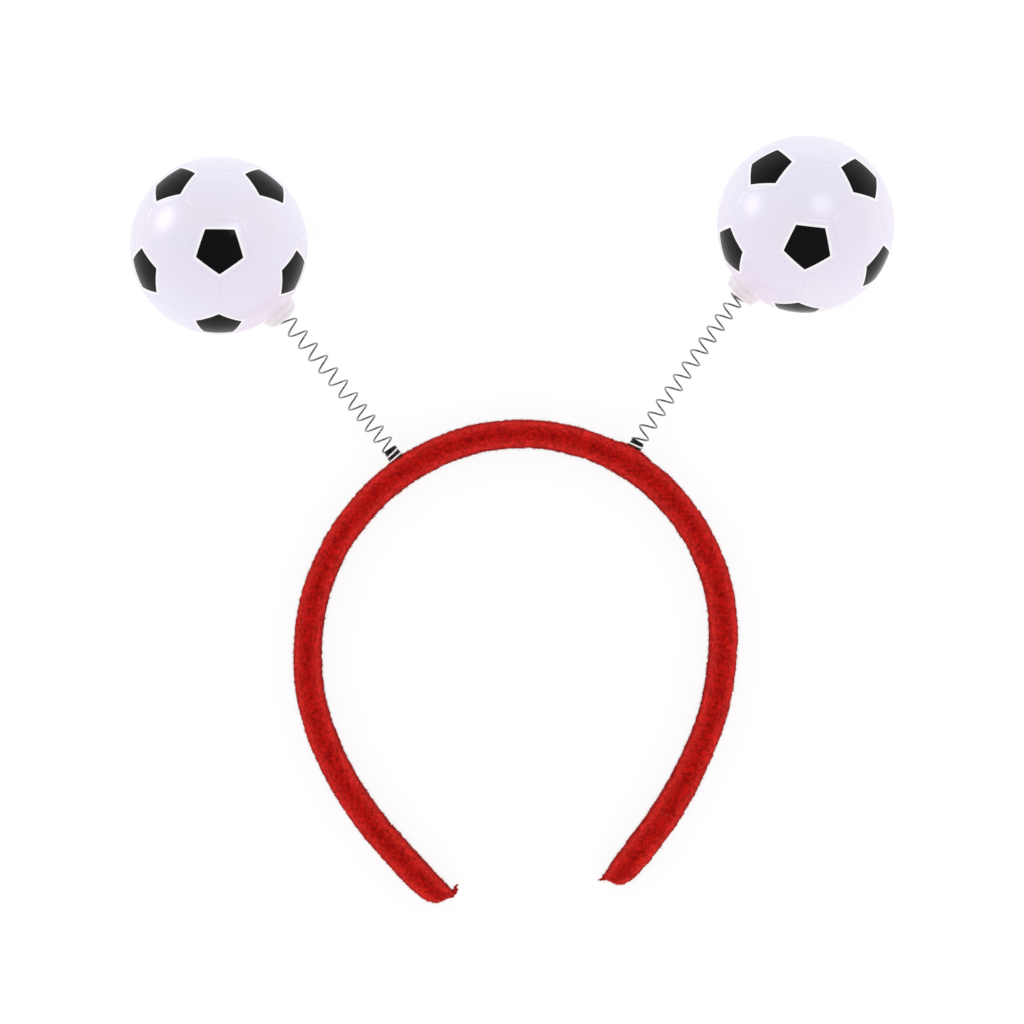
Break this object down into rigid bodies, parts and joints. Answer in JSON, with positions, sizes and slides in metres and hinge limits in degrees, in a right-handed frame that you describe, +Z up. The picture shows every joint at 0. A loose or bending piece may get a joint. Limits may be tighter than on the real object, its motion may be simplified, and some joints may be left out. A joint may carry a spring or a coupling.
{
  "type": "novelty headband",
  "caption": "Padded felt hoop, open at the tips to fit over the head, with panelled hollow balls that sway on coil springs from plastic studs.",
  "frame": {"origin": "middle of the headband's own box, on the surface that it lies on", "axes": "+Z up from that surface, +Y from the open tips towards the crown and the balls, +X to the right seen from above"},
  "size_m": [0.2372, 0.24, 0.0552],
  "materials": {
    "red_felt": "short brushed pile",
    "white_plastic": "glossy white with black printed five-sided panels",
    "milky_plastic": "satin, slightly translucent",
    "spring_wire": "bright drawn wire",
    "black_plastic": "satin black"
  },
  "bodies": {
    "hoop": {"band": "red_felt", "stud_left": "black_plastic", "stud_right": "black_plastic", "spring_left": "spring_wire", "spring_right": "spring_wire"},
    "bopper_left": {"ball_left": "white_plastic", "plug_left": "milky_plastic"},
    "bopper_right": {"ball_right": "white_plastic", "plug_right": "milky_plastic"}
  },
  "joints": [
    {"name": "sway_left", "type": "hinge", "parent": "hoop", "child": "bopper_left", "pos_m": [-0.0543, 0.0433, 0.0103], "axis": [0, 0, 1], "range_deg": [-45, 45], "stiffness_Nm_per_rad": 0.004, "deforming": ["spring_left"]},
    {"name": "sway_right", "type": "hinge", "parent": "hoop", "child": "bopper_right", "pos_m": [0.0548, 0.0475, 0.0102], "axis": [0, 0, 1], "range_deg": [-45, 45], "stiffness_Nm_per_rad": 0.004, "deforming": ["spring_right"]}
  ]
}
